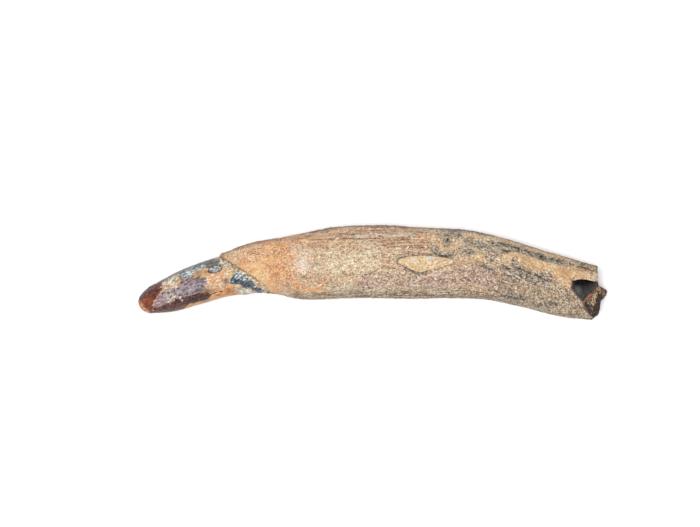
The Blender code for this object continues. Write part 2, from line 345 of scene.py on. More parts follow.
         (44.4, -2.6), (42, -3.4), (39.8, -3), (37.4, -1.6), (34, -1.8), (32, -1)),
        ((32, -5.2), (35, -5), (38.6, -6.4), (38.8, -7.4), (32, -6.6)),
        ((44, -7.4), (46.2, -7.8), (46, -8.6), (44, -8.2)),
        ((6, 3), (6.6, 3.9), (8, 4.8), (9, 4.6), (7.2, 3.6)),
        ((8, 1.6), (11.5, 0.2), (13.2, -0.2), (12, -0.6), (10.2, -0.2), (8.2, 0.9)),
        ((26, 2.4), (27.2, 2), (30, 0.9), (29.8, 0.1), (27.6, 0.9)),
    ),
    "soot": (
        ((41.5, 4.7), (42.4, 4.4), (42.6, 3.2), (41.8, 3.4)),
        ((18.2, 8.6), (18.9, 8.6), (18.9, 8.2), (18.3, 8.1)),
        ((24.8, 7.7), (25.5, 7.5), (25.1, 7.2)),
        ((24.4, 5.3), (25.2, 5.2), (24.9, 4.8)),
        ((-17.2, -1.3), (-16.4, -1.1), (-16.5, -1.6)),
    ),
}

# Rounder patches: X, angle in degrees, half length, half width
SPOTS = {
    "rust": ((-57, -10, 2, 1.6),),
    # on the root, the pink spread of a painted highlight; on the crown, a real pink patch
    "blush": ((-17.2, 9, 3, 3.6), (-53.4, -23, 1.3, 1)),
    # a painted highlight on the root's top, and a small cream dot beside it
    "glow": ((-16.8, 3, 1.4, 2), (-20, 35, 0.6, 0.6)),
    "lilac": ((-46, 150, 5, 2.2),),
    "chalk": ((-41, 150, 3, 2), (-35, -150, 3, 1.6)),
    "smoke": ((-42, 120, 8, 2),),
    "amber": ((-38, -115, 6, 3), (-47, 170, 5, 3)),
    "deposit": ((-28, -125, 2.6, 2), (-38, 125, 2.2, 2)),
    "pale": ((-4, -160, 12, 5), (20, 150, 10, 4)),
    "smooth": ((-15, 52, 3.6, 1), (-24, 160, 5, 4), (-14, -47, 2.6, 0.6)),
    "russet": ((-2, 125, 20, 4), (-8, -120, 14, 4)),
    "mauve": ((14, -140, 14, 5),),
    "umber": ((34, -76, 14, 1.4), (-4, -100, 34, 3)),
    "grey": ((50, 60, 8, 2), (50, -60, 7, 4.5), (42, 170, 12, 6)),
    "smudge": ((20, 160, 8, 3), (38, -140, 7, 3)),
    "bone": ((-15, 118, 6, 0.3), (8, -124, 8, 0.3)),
    "lens": ((-8, 168, 6, 2.6), (30, 118, 5, 1.9)),
}

# Lines and dots: half width, then their corners
LINES = {
    "soot": (
        (0.17, (32.1, 7.2), (33.3, 7), (34.8, 6.5), (36.2, 6)),
        (0.17, (36.6, 5.9), (38.2, 5.4), (39.6, 5), (41.4, 4.4)),
        (0.16, (42.4, 4), (43.8, 3.5), (45.4, 3.2), (47.8, 2.6)),
        (0.15, (32.5, 5.5), (33.2, 5.2), (33.8, 5.4), (34.5, 5.1)),
        (0.1, (49.5, 2), (51.2, 1.5), (53.5, 0.9), (54.9, 0.4)),
        (0.18, (34.8, 1.5), (36.2, 1), (39.6, -0.3), (41.4, -1), (43.2, -1.9), (44.2, -2.2)),
        (0.15, (32.4, 1.1), (34.2, 0.9)),
        (0.15, (32, -6), (34.2, -6.3), (36.4, -6.9), (38.4, -7.2)),
        (0.15, (44.2, -7.8), (45.9, -8.2)),
        (0.12, (26.2, 2.2), (26.8, 1.6), (28.2, 1.3), (29.8, 0.3)),
        (0.2, (15.3, 5), (16.3, 4.2), (18, 4.1), (19.8, 4.2)),
        (0.1, (8.2, 1.2), (9.6, 0.5), (10.8, -0.1)),
        (0.15, (-40.4, -5.7), (-39.3, -5.2), (-37.5, -4.9)),
        (0.12, (-48, -2.8), (-46.5, -2), (-45.2, -1.4), (-44.6, -0.9)),
    ),
    "bone": (
        (0.16, (33.3, -0.2), (34.6, -0.4), (36.6, -1.4), (37.4, -2), (38.8, -2.8)),
        (0.16, (-25, 7), (-22.6, 7.5), (-20.4, 7.8)),
        (0.14, (-13, 9.2), (-10, 9.8)),
        (0.2, (0.5, 9.6), (4, 9.2), (8.2, 9.3)),
        (0.14, (-17.5, 4.6), (-14, 4.9), (-11, 5.7)),
    ),
}
RIM = 2.6  # half width of the band of painted shade along the convex side

# Patches of the break, as outlines seen from above
BREAK_PATCHES = {
    "core": (
        ((54.3, -6.9), (55, -6), (56.4, -4.4), (56.1, -6.4), (56, -7.4), (55.5, -8.2), (55, -8.3)),
    ),
    "strip": (
        ((56.5, -3.6), (57.3, -3.9), (57.5, -4.8), (57, -5.6), (56.7, -4.8)),
    ),
    "knob": (
        ((57.6, -4.1), (58.3, -4.5), (58.8, -5.1), (58.5, -5.8), (57.9, -6.1), (57.6, -5.2)),
    ),
    "flecks": (
        ((53.4, -6.8), (54.2, -6.7), (54.4, -7.8), (53.7, -8)),
        ((54.1, -8.2), (54.5, -8.2), (55.4, -10.2), (55.1, -10.4)),
    ),
    # a painted sheen of light on the dark slope near its corner
    "painted_sheen": (
        ((50.5, -3.8), (51.4, -3.6), (51.9, -4.4), (51.6, -5.4), (50.8, -5)),
    ),
}

# Small deep pits: X, Y, radius, depth
PITS = (
    (-16.8, -1.3, 0.38, 0.35),
    (-12.9, 2.0, 0.3, 0.3),
    (-26.3, -0.6, 0.25, 0.2),
    (18.6, 8.3, 0.5, 0.4),
    (25.2, 7.5, 0.4, 0.35),
    (24.8, 5.1, 0.4, 0.35),
    (42.2, 4.0, 0.6, 0.35),
    (49.4, 0.2, 0.35, 0.3),
    (-0.6, -1.9, 0.35, 0.25),
    (28.5, 8.2, 0.3, 0.2),
)
PIT_FLARE = 1.5  # a pit's hollow reaches this many times its radius
STRAY_PITS = 130  # scattered over the root
STRAY_PIT_RADII = (0.25, 0.5)
STRAY_PIT_DEPTHS = (0.1, 0.28)

# Long, thin cracks in the cement
CRACK_SIZE = (9.0, 1.3, 1.3)
CRACK_WIDTH = 0.13  # as a share of the noise that they follow
CRACK_DEPTH = 0.14
CRACK_GAPS = (12.0, 5.0, 5.0)
CRACK_SHARE = 0.25  # raised, the cracks have fewer gaps

# What stands out of the surface, or sinks into it: height, width of its edge
RAISED = {
    "slate": (0.12, 0.25),
    "chalk": (0.14, 0.3),
    "deposit": (0.2, 0.4),
    "bone": (0.08, 0.2),
    "soot": (-0.16, 0.3),
    "lens": (-0.28, 0.25),
}

# Roughness: where it lies, the size of its lumps, their height
ROUGHNESS = (
    ("root", 1.4, 0.1),
    ("root", 0.7, 0.08),
    ("crown", 1.0, 0.03),
    ("maroon", 1.0, 0.1),
    ("deposit", 1.1, 0.3),
    ("chalk", 0.6, 0.16),
    ("break", 0.9, 0.05),
    ("crumbs", 0.9, 0.2),
    ("crumbs", 0.45, 0.08),
)
CRUST_EDGES = {"maroon": 0.6, "deposit": 0.4, "chalk": 0.3}  # length over which they begin
SMOOTHED = 0.6  # how much less rough the smooth patches are
SMOOTHED_START = 0.5  # how far outside them that begins
MUD_START = 0.1  # how far before the ridge the crumbs begin
MUD_EDGE = 0.8

# Layers of colour, each over the one before: the patch, the size of its pattern, the pattern's dark and light
# colours, how far the patch's edge wanders, how soft that edge is, and how much the layer covers
ROOT_LAYERS = (
    ("warm", 2.0, (222, 144, 88), (248, 184, 124), 1.8, 2.0, 0.9),
    ("russet", 1.6, (190, 130, 90), (226, 174, 136), 1.4, 1.8, 0.8),
    ("pale", 1.6, (214, 178, 140), (238, 218, 184), 1.6, 1.8, 0.9),
    ("copper", 1.2, (190, 120, 74), (220, 156, 108), 0.8, 0.8, 0.7),
    ("ash", 1.2, (176, 158, 134), (216, 202, 176), 0.8, 0.8, 0.8),
    ("mauve", 1.8, (166, 126, 106), (206, 172, 154), 1.4, 1.2, 0.9),
    ("tan", 1.4, (176, 146, 112), (226, 194, 156), 1.4, 1.4, 0.9),
    ("grey", 1.4, (118, 98, 76), (180, 152, 120), 1.4, 1.4, 0.9),
    ("brown", 1.2, (128, 96, 76), (180, 142, 118), 1.0, 0.9, 0.85),
    ("umber", 1.0, (114, 92, 72), (168, 144, 116), 0.8, 0.8, 0.85),
    ("peach", 1.2, (220, 168, 118), (248, 210, 158), 0.7, 0.5, 0.9),
    # the pink spread of the painted highlight on the root
    ("blush", 1.6, (232, 186, 148), (248, 216, 186), 1.2, 1.2, 0.9),
    ("smooth", 2.0, (252, 188, 130), (255, 216, 162), 0.8, 0.8, 0.85),
    # the bright core of the painted highlight, and the cream dot
    ("glow", 1.0, (248, 220, 194), (255, 244, 230), 0.6, 0.9, 0.8),
)
ROOT_DETAILS = (
    ("bone", 0.5, (236, 206, 170), (255, 244, 224), 0.08, 0.08, 0.9),
    ("hot", 0.8, (190, 116, 66), (226, 152, 94), 0.3, 0.3, 0.85),
    # painted shade on the wall's steep end beside the break
    ("end", 0.8, (104, 100, 96), (158, 150, 140), 0.2, 0.3, 0.9),
    ("raw", 0.6, (208, 176, 156), (244, 218, 200), 0.15, 0.15, 0.9),
)
CROWN_LAYERS = (
    ("flame", 0.7, (236, 172, 118), (255, 234, 204), 0.4, 0.3, 0.95),
    ("amber", 0.9, (176, 120, 68), (234, 170, 102), 0.3, 0.4, 0.95),
    ("olive", 0.8, (138, 114, 80), (180, 158, 120), 0.4, 0.5, 0.9),
    ("lilac", 0.6, (106, 90, 98), (178, 158, 164), 0.3, 0.15, 1.0),
    ("blush", 0.7, (164, 118, 122), (208, 170, 172), 0.4, 0.5, 0.8),
    ("slate", 0.6, (84, 86, 90), (184, 182, 174), 0.3, 0.15, 1.0),
    ("smoke", 0.6, (62, 56, 54), (122, 110, 96), 0.5, 0.7, 0.8),
    # painted bluish highlight on the slate band
    ("ice", 0.5, (118, 130, 148), (240, 244, 246), 0.4, 0.25, 0.95),
    ("wine", 0.8, (50, 16, 18), (112, 50, 44), 0.35, 0.2, 0.97),
    ("dusk", 0.7, (44, 18, 20), (78, 40, 40), 0.3, 0.4, 0.95),
    ("maroon", 1.0, (74, 26, 26), (140, 62, 50), 0.3, 0.15, 1.0),
    ("rust", 0.8, (124, 46, 22), (172, 84, 44), 0.5, 0.8, 0.8),
    ("ember", 0.6, (192, 118, 68), (236, 178, 126), 0.25, 0.3, 0.95),
)
STUCK_LAYERS = (
    ("chalk", 0.75, (178, 160, 136), (255, 252, 232), 1.1, 0.2, 1.0),
    ("yellow", 0.5, (230, 194, 110), (252, 232, 166), 0.4, 0.15, 1.0),
    ("deposit", 0.45, (72, 82, 96), (222, 232, 242), 0.35, 0.15, 1.0),
    ("coal", 0.5, (42, 45, 50), (110, 116, 124), 0.4, 0.2, 0.97),
    ("soot", 0.4, (30, 22, 20), (66, 48, 40), 0.12, 0.1, 0.95),
)
BREAK_LAYERS = (
    ("strip", 0.5, (112, 84, 56), (206, 178, 136), 0.3, 0.2, 0.9),
    ("knob", 0.6, (98, 70, 48), (164, 118, 86), 0.3, 0.25, 0.95),
    ("core", 0.5, (112, 90, 62), (222, 200, 154), 0.35, 0.2, 1.0),
    ("flecks", 0.4, (72, 56, 46), (196, 172, 146), 0.5, 0.2, 0.75),
)

# The surface's finish
BUMP = 0.12  # full height of the bumps that are only shaded
SHEEN = 0.28  # mineral surfaces shine less than plastic does
ROOT_ROUGH = 0.75
CROWN_ROUGH = 0.4
DARK_ROUGH = 0.34  # the break's dark slope

# Noise
FRESH = 17.3  # how far apart two patterns are cut from the noise
DETAIL = 2.0  # how much finer noise a pattern has
SWAY = 5.0  # stretches the noise, so that it runs from about -1 to 1
BLEND = (0.38, 0.62)  # where in the noise a pattern turns from dark to light

# Crumbs and what lies between them
CREAM = (255, 242, 216)
CREAM_SHARE = 0.7
CREAM_GAIN = 1.4  # how much brighter the rest of a crumb is than the surface
PORE_TONE = 0.48  # a pore's brightness as a share of the surface's
SAND_TONES = (0.78, 1.38)  # the same for dark and for light sand
GRAIN_MOST = {"crevices": 0.6, "threads": 0.85, "pores": 0.75, "crumbs": 0.95}  # how much they cover
CURL = 1.15  # how far apart the curled crumbs lie
CALM = {"smooth": 0.0, "peach": 0.6, "glow": 0.2}  # patches with weaker crumbs, and how far inside them
CALM_CRUST = 0.3  # strength of the crumbs there, as a share of the rest
ROOT_CRUST = (0.78, 1.28)  # strength of the crumbs towards the crown, and towards the break
CROWN_CRUST = 0.1
CROWN_GRIT = 0.4  # strength of the crown's sand

# Edges and marks
RIM_SHADE_REACH = {"root": 0.9, "crown": 0.6}  # how many times the part's wandering moves the edge of the painted shade along the convex side
SEAM_REACH = 0.16  # the same for the edges of the orange line and the mud on the break
SHELL_REACH = 0.12  # and for the thin ring of cement
RING_MOST = 0.95  # how much the oval mark's middle covers
FRINGE_MOST = 0.92  # how much the cream crumbs along the cement cover
WAVE = 9.0  # how close together the growth lines are

# Noises: size, then how many times longer they are along the tooth and their detail, where those differ
NOISES = {
    "sand": (0.38,),
    "crumbs": (0.46,),
    "pores": (0.42,),
    "threads": (0.8, 1.2, 2.0),
    "streaks": (0.4, 12.0, 2.0),
    "veins": (1.0, 1.5, 2.0),
    "blots": (0.5, 1.6, 2.0),
    "bright": (1.4,),
    "web": (0.6, 1.2, 2.0),
    "break": (0.4, 1.0, 2.0),
}

# What makes edges ragged: size, how many times longer it is along the tooth, and how far it moves them
WANDERS = {
    "root": ((2.4, 1.6, 0.7), (0.8, 1.6, 0.5)),
    "smudge": ((0.7, 1.2, 0.5),),
    "soot": ((0.36, 1.8, 0.28),),
    "details": ((0.4, 1.2, 1.0),),
    "lens": ((0.45, 1.2, 0.4),),
    "crown": ((0.45, 1.2, 0.6), (1.3, 1.2, 0.7)),
    "ring": ((0.5, 1.2, 0.12),),
    "stuck": ((0.42, 1.2, 1.0),),
    "fringe": ((0.4, 1.2, 1.0),),
    "break": ((0.5, 1.2, 1.0),),
    "waves": ((1.4, 1.0, 2.2),),
}

# Where things begin and where they are full, in their noise or in millimetres inside their patch
EDGES = {
    "crumbs": (0.55, 0.62),
    "pores": (0.57, 0.64),
    "calm": (-0.6, 0.6),
    "crust": (-25.0, 5.0),
    "curls": (-0.5, 0.3),
    "streaked": (-1.0, 0.4),
    "dark_streaks": (0.54, 0.62),
    "pale_streaks": (0.44, 0.36),
    "smudge": (-0.6, 0.3),
    "blots": (0.585, 0.635),
    "soot_halo": (-0.4, -0.02),
    "soot": (0.0, 0.14),
    "lens_edge_shadow": (-0.35, -0.1),
    "bright": (0.5, 0.62),
    "lens": (-0.04, 0.1),
    "snow": (-0.12, 0.1),
    # where the painted shade along the convex side of the root begins
    "root_rim_shade": (-0.9, 1.7),
    "ring": (-0.1, 0.1),
    "web": (-0.3, 0.3),
    # where the painted shade along the convex side of the crown begins
    "crown_rim_shade": (-0.6, 1.2),
    "fringe_shade": (-1.3, -0.5),
    "fringe": (-1.5, -0.8),
    "cement": (-0.06, 0.06),
    "painted_sheen": (-0.9, 0.7),
    "waves": (0.3, 1.0),
    "waved": (-3.0, -0.8),
    "seam": (-0.6, -0.3),
    "mud": (0.0, 0.3),
    "rough": (-0.2, 0.4),
    "shell": (0.4, 0.2),
}

# Thin lines: the value of the noise or field that they follow, and how far from it they reach
THIN = {
    "threads": (0.5, 0.036),
    "crevices": (0.565, 0.036),
    "curls": (0.36, 0.1),
    "veins": (0.5, 0.042),
    "ring": (-0.05, 0.24),
    "web": (0.5, 0.06),
    "cement": (0.0, 0.2),
}

# Coats of one colour: how much they cover, and the colour
COATS = {
    "curls": (0.9, (255, 236, 204)),
    "dark_streaks": (0.6, (120, 78, 54)),
    "pale_streaks": (0.6, (246, 226, 198)),
    "smudge": (0.35, (180, 176, 170)),
    "veins": (0.85, (50, 50, 50)),
    "blots": (0.75, (62, 60, 58)),
    "soot_halo": (0.4, (112, 102, 92)),
    "soot": (0.9, (40, 36, 34)),
    # painted shadow along the edge of the sunken flake
    "lens_edge_shadow": (0.65, (98, 86, 78)),
    "lens": (0.5, (248, 214, 162)),
    "bright": (0.6, (255, 244, 220)),
    "snow": (1.0, (208, 222, 250)),
    # painted shade along the convex side of the root
    "root_rim_shade": (0.72, (104, 98, 92)),
    "ring": (0.9, (52, 50, 50)),
    "web": (0.85, (238, 222, 196)),
    # painted shade along the convex side of the crown
    "crown_rim_shade": (0.72, (90, 92, 98)),
    "fringe_shade": (0.35, (104, 92, 80)),
    "cement": (0.6, (84, 58, 42)),
    # painted sheen on the break's dark slope
    "painted_sheen": (0.8, (112, 110, 110)),
    "waves": (0.4, (118, 92, 86)),
    "shell": (0.8, (126, 106, 92)),
}

# Patterns: size, dark colour, light colour
PATTERNS = {
    "root": (2.6, (198, 150, 114), (220, 188, 152)),
    "lens": (0.45, (214, 160, 104), (255, 240, 206)),
    "crown": (2.2, (204, 144, 98), (242, 188, 138), 2.5),
    "ring": (0.45, (140, 138, 134), (236, 234, 226)),
    "fringe": (0.55, (156, 132, 94), (255, 250, 222)),
    "slope": (1.2, (13, 11, 12), (38, 34, 35)),
    "mud": (0.6, (17, 13, 12), (76, 54, 40)),
    "seam": (0.6, (92, 48, 24), (182, 110, 58)),
}

# The studio
EXPOSURE = 1.56  # how much brighter than its own colour a surface comes out on top of the tooth
WORLD_LIGHT = 0.66
KEY_POWER = 7.4
KEY_SIZE = 0.4
KEY_PLACE = (-0.1, -0.02, 0.8)
FLOOR_HALF = 3.0
FLOOR_GREY = 0.9
FLOOR_ROUGH = 0.9
PHOTO_WIDE = 175.0  # millimetres across the frame, at the height of the tooth's middle
PHOTO_MIDDLE = (-5.55, 2.15)
LENS = 180.0
SENSOR = 36.0
CLIP_START = 0.01


def tint(red, green, blue):
    """The shader's colour for a surface that comes out as this under the studio's light."""
    shares = (value / 255 for value in (red, green, blue))
    linear = (s / 12.92 if s <= 0.04045 else ((s + 0.055) / 1.055) ** 2.4 for s in shares)
    return tuple(value / EXPOSURE for value in linear) + (1.0,)


def ramp(value, length=1.0):
    """Rises smoothly from 0 at value 0 to 1 at value length."""
    t = np.clip(value / length, 0.0, 1.0)
    return t * t * (3 - 2 * t)


def hump(distance, radius):
    """1 in the middle, and 0 from radius outwards."""
    return np.clip(1 - (distance / radius) ** 2, 0.0, None) ** 2


def smooth(points, x, column=1):
    """Values at x of a smooth curve through points, whose first column rises."""
    table = np.array(points)
    knots, values = table[:, 0], table[:, column]
    slopes = np.gradient(values)
    slopes[1:-1] = (values[2:] - values[:-2]) / (knots[2:] - knots[:-2])
    slopes[0] = (values[1] - values[0]) / (knots[1] - knots[0])
    slopes[-1] = (values[-1] - values[-2]) / (knots[-1] - knots[-2])
    i = np.clip(np.searchsorted(knots, x, side="right") - 1, 0, len(knots) - 2)
    span = knots[i + 1] - knots[i]
    t = (x - knots[i]) / span
    return (
        values[i] * (1 + 2 * t) * (1 - t) ** 2
        + slopes[i] * span * t * (1 - t) ** 2
        + values[i + 1] * t * t * (3 - 2 * t)
        + slopes[i + 1] * span * t * t * (t - 1)
    )


def grain(points, size, shift=0.0):
    """Noise from about -1 to 1 at each point, with lumps of size, which may differ along X, Y and Z."""
    cells = (points / np.array(size) + shift).reshape(-1, 3).tolist()
    return np.array([noise.noise(cell) for cell in cells]).reshape(points.shape[:-1])


def section(x, capped=True):
    """Middle Y, middle Z, half width and half depth of the cross-sections at x."""
    convex, concave = smooth(OUTLINE, x, 1), smooth(OUTLINE, x, 2)
    half = (convex - concave) / 2
    depth = half * DEPTH_SHARE
    middle_z = depth + smooth(UNDERSIDE, x)
    cap = np.clip((TIP_X + TIP_CAP - x) / TIP_CAP, 0.0, 1.0) if capped else 0.0
    shrink = np.sqrt(1 - cap * cap)
    return (convex + concave) / 2, middle_z, half * shrink, depth * shrink


def surface_angle(x, y):
    """The angle, in degrees, of a place seen from above at x and y, which past the outline lies beneath."""
    middle, _, half, _ = section(np.array(max(x, TIP_X)))
    share = float(y - middle) / max(float(half), TINY)
    if abs(share) <= 1:
        return math.degrees(math.asin(share))
    beneath = math.pi - math.asin(2 - min(abs(share), 2))
    return math.degrees(math.copysign(beneath, share))


def across(angle, middle, half_width):
    """Millimetres round the surface from the angle middle, in degrees, to angle, in radians."""
    return ((angle - math.radians(middle) + math.pi) % math.tau - math.pi) * half_width


def cement_distance(points, angle):
    """How far points are past the cement's edge. It is negative on the bare crown."""
    edge = CEMENT_MIDDLE_X - CEMENT_SLANT * np.sin(angle) - CEMENT_CURL * np.sin(2 * angle)
    return points[..., 0] - edge + CEMENT_WANDER * grain(points, CEMENT_WANDER_SIZE)


def ragged_edge(points):
    """How far the cement's edge wanders on a small scale."""
    return CEMENT_RAGGED * grain(points, CEMENT_RAGGED_SIZE)


def broad_relief(points, angle, half_width):
    """How far the surface stands out of the smooth tooth: swellings, flutes, the cement's lip and grooves."""
    x = points[..., 0]
    past_edge = cement_distance(points, angle)
    height = LUMP_HEIGHT * grain(points, LUMP_SIZE)
    height += FLUTE_HEIGHT * grain(points, FLUTE_SIZE) * ramp(past_edge, CEMENT_FADE)
    lip = ramp(past_edge + ragged_edge(points) + CEMENT_LIP, 2 * CEMENT_LIP) - 0.5
    height += CEMENT_STEP * lip * np.exp(-np.abs(past_edge) / CEMENT_FADE)
    for start, end, middle, width, depth in GROOVES:
        ends = ramp(x - start, GROOVE_RUN_OUT) * ramp(end - x, GROOVE_RUN_OUT)
        height -= depth * ends * hump(across(angle, middle, half_width), width)
    return height


def break_x(y, z):
    """X of the broken end at y and z."""
    knob = np.hypot((y - KNOB[0]) / KNOB_RADII[0], (z - KNOB[1]) / KNOB_RADII[1])
    sliced = np.stack([np.full_like(y, BREAK_SLICE * BREAK_LUMP), y, z], axis=-1)
    rough = BREAK_ROUGHNESS * grain(sliced, BREAK_LUMP)
    return smooth(BREAK, y) + KNOB_HEIGHT * hump(knob, KNOB_REACH) + rough


def side_points(x, angle):
    """Points of the tooth's side at each x and angle. Near the break, x is moved to follow it."""
    middle_y, middle_z, half_y, half_z = section(np.array(BREAK_X))
    end = break_x(middle_y + half_y * np.sin(angle), middle_z + half_z * np.cos(angle))
    share = np.clip((x - BREAK_START_X) / (BREAK_X - BREAK_START_X), 0.0, 1.0)
    x = x + share * (end - BREAK_X)
    middle_y, middle_z, half_y, half_z = section(x)
    points = np.stack([x, middle_y + half_y * np.sin(angle), middle_z + half_z * np.cos(angle)], axis=-1)
    outward = np.stack([np.zeros_like(x), np.sin(angle) * half_z, np.cos(angle) * half_y], axis=-1)
    outward /= np.linalg.norm(outward, axis=-1, keepdims=True)
    height = broad_relief(points, angle, half_y) * ramp(x - TIP_X, TIP_CAP)
    points += outward * height[..., None]
    points[..., 2] = np.maximum(points[..., 2], 0.0)
    return points


def tooth_rings():
    """Rings of points from the tip to the middle of the break, and how many of them are on the side."""
    turns = np.arange(1, TIP_RINGS) / TIP_RINGS
    tip = TIP_X + TIP_CAP * (1 - np.cos(np.pi / 2 * turns))
    body = np.linspace(TIP_X + TIP_CAP, BREAK_X, round((BREAK_X - TIP_X - TIP_CAP) / BODY_STEP) + 1)
    angles = np.linspace(0, math.tau, SEGMENTS, endpoint=False)
    x, angle = np.meshgrid(np.concatenate([tip, body]), angles, indexing="ij")
    side = side_points(x, angle)
    middle = np.array(section(np.array(BREAK_X))[:2])
    shares = 1 - np.arange(1, END_RINGS)[:, None, None] / END_RINGS
    flat = middle + shares * (side[-1:, :, 1:] - middle)
    end = np.concatenate([break_x(flat[..., 0], flat[..., 1])[..., None], flat], axis=-1)
    return np.concatenate([side, end]), len(side)


def grid_faces(rows, columns):
    """Faces of a tube of rows rings with columns points each."""
    row, column = np.meshgrid(np.arange(rows - 1), np.arange(columns), indexing="ij")
    here, there = row * columns + column, row * columns + (column + 1) % columns
    return np.stack([here, here + columns, there + columns, there], axis=-1).reshape(-1, 4).tolist()


def linked_object(name, data):
    """A new object in the scene with that mesh, lamp or camera."""
    made = bpy.data.objects.new(name, data)
    bpy.context.scene.collection.objects.link(made)
    return made


def solid(name, points, faces, slots, materials):
    """An object with those faces, whose materials are picked by slots."""
    mesh = bpy.data.meshes.new(name)
    mesh.from_pydata(points, [], faces)
    for material in materials:
        mesh.materials.append(material)
    mesh.polygons.foreach_set("material_index", slots)
    return linked_object(name, mesh)


def whole_tooth(materials):
    """The tooth before the chip is taken out of it. Its broken end has the second material."""
    rings, side_rings = tooth_rings()
    tip = [TIP_X, *(float(v) for v in section(np.array(TIP_X))[:2])]
    middle_y, middle_z = (v[None] for v in section(np.array(BREAK_X))[:2])
    end = [float(break_x(middle_y, middle_z)[0]), float(middle_y[0]), float(middle_z[0])]
    points = rings.reshape(-1, 3).tolist() + [tip, end]
    faces = grid_faces(len(rings), SEGMENTS)
    last = (len(rings) - 1) * SEGMENTS
    for k in range(SEGMENTS):
        n = (k + 1) % SEGMENTS
        faces.append((len(points) - 2, k, n))
        faces.append((len(points) - 1, last + n, last + k))
    slots = np.zeros(len(faces), dtype=np.int32)
    slots[(side_rings - 1) * SEGMENTS : last] = 1
    slots[-2 * SEGMENTS + 1 :: 2] = 1
    return solid("whole_tooth", points, faces, slots, materials)


def ridge_distance(x, y):
    """How far a place is beyond the chip's ridge, seen from above. It is negative on the dark slope."""
    return (x - RIDGE_START[0]) * RIDGE_WAY[1] - (y - RIDGE_START[1]) * RIDGE_WAY[0]


def chip_z(x, y):
    """Height of the chip's floor: the lower of the dark slope and the core's slope."""
    fall = (x - CHIP_CORNER[0]) * CHIP_FALL[0] + (y - CHIP_CORNER[1]) * CHIP_FALL[1]
    ridge_z = CHIP_CORNER[2] - DARK_SLOPE * (RIDGE_START - CHIP_CORNER[:2]).dot(CHIP_FALL)
    along = (x - RIDGE_START[0]) * RIDGE_WAY[0] + (y - RIDGE_START[1]) * RIDGE_WAY[1]
    down = along * RIDGE_WAY.dot(CHIP_FALL) * DARK_SLOPE
    blunt_x, blunt_y, reach, height = CHIP_BLUNT
    left = height * hump(np.hypot(x - blunt_x, y - blunt_y), reach)
    dark_slope = CHIP_CORNER[2] - DARK_SLOPE * fall + left
    return np.minimum(dark_slope, ridge_z - down - CORE_SLOPE * ridge_distance(x, y))


def chip_cutter(materials):
    """The space that the chip takes, as a tube along X: up its floor, up its wall and back over the top."""
    xs = np.arange(CHIP_RANGE_X[1], CHIP_RANGE_X[0], -CHIP_STEP)
    bulge_x, bulge_length, bulge_depth = CHIP_WALL_BULGE
    wall_y = CHIP_CORNER[1] + bulge_depth * hump(xs - bulge_x, bulge_length)
    floor_count = round((CHIP_CORNER[1] - CHIP_LOW_Y) / CHIP_STEP)
    y = CHIP_LOW_Y + np.linspace(0, 1, floor_count) * (wall_y[:, None] - CHIP_LOW_Y)
    x = np.repeat(xs[:, None], floor_count, axis=1)
    floor = np.stack([x, y, chip_z(x, y)], axis=-1)
    foot = floor[:, -1:, :]
    wall = np.repeat(foot, CHIP_WALL_POINTS - 1, axis=1)
    wall[..., 2:] += np.linspace(0, 1, CHIP_WALL_POINTS)[1:, None] * (CHIP_TOP - foot[..., 2:])
    corner = np.stack([xs, np.full_like(xs, CHIP_LOW_Y), np.full_like(xs, CHIP_TOP)], axis=-1)
    rings = np.concatenate([floor, wall, corner[:, None, :]], axis=1)
    columns = rings.shape[1]
    faces = grid_faces(len(xs), columns)
    faces.append(list(range(columns)))
    faces.append([(len(xs) - 1) * columns + k for k in reversed(range(columns))])
    slots = np.ones(len(faces), dtype=np.int32)
    return solid("chip_cutter", rings.reshape(-1, 3).tolist(), faces, slots, materials)


def chipped_mesh(materials):
    """The tooth's mesh with the chip taken out, in millimetres."""
    tooth, cutter = whole_tooth(materials), chip_cutter(materials)
    chip = tooth.modifiers.new("chip", "BOOLEAN")
    chip.operation = "DIFFERENCE"
    chip.object = cutter
    graph = bpy.context.evaluated_depsgraph_get()
    mesh = bpy.data.meshes.new_from_object(tooth.evaluated_get(graph))
    bpy.data.objects.remove(tooth)
    bpy.data.objects.remove(cutter)
    mesh.name = "fossil_tooth"
    return mesh


def triples(items, key):
    """The three numbers that each item keeps under key, as rows."""
    values = np.empty(len(items) * 3, dtype=np.float32)
    items.foreach_get(key, values)
    return values.reshape(-1, 3).astype(float)


def whole_numbers(items, key):
    """The whole number that each item keeps under key."""
    values = np.empty(len(items), dtype=np.int32)
    items.foreach_get(key, values)
    return values


def broken_points(mesh):
    """1 for each point on the break or the chip, and 0 for the rest."""
    slots = whole_numbers(mesh.polygons, "material_index")
    slots_at_corners = np.repeat(slots, whole_numbers(mesh.polygons, "loop_total"))
    broken = np.zeros(len(mesh.vertices))
    broken[whole_numbers(mesh.loops, "vertex_index")[slots_at_corners == 1]] = 1.0
    return broken


def line_distance(start, end, along, side):
    """Millimetres from each point to the straight line between two corners."""
    (x0, y0), (x1, y1) = start, end
    way_x, way_y = x1 - x0, y1 - y0
    share = ((along - x0) * way_x + (side - y0) * way_y) / (way_x**2 + way_y**2 + TINY)
    share = np.clip(share, 0, 1)
    return np.hypot(along - x0 - share * way_x, side - y0 - share * way_y)


def outline_distance(corners, along, side):
    """Millimetres from each point to a closed outline: above 0 inside it, and below 0 outside."""
    inside = np.zeros(along.shape, dtype=bool)
    distance = np.full(along.shape, FAR)
    for start, end in zip(corners, corners[1:] + corners[:1]):
        distance = np.minimum(distance, line_distance(start, end, along, side))
        if start[0] != end[0]:
            slope = (end[1] - start[1]) / (end[0] - start[0])
            passes = (start[0] > along) != (end[0] > along)
            inside ^= passes & (side < start[1] + (along - start[0]) * slope)
    return np.where(inside, distance, -distance)


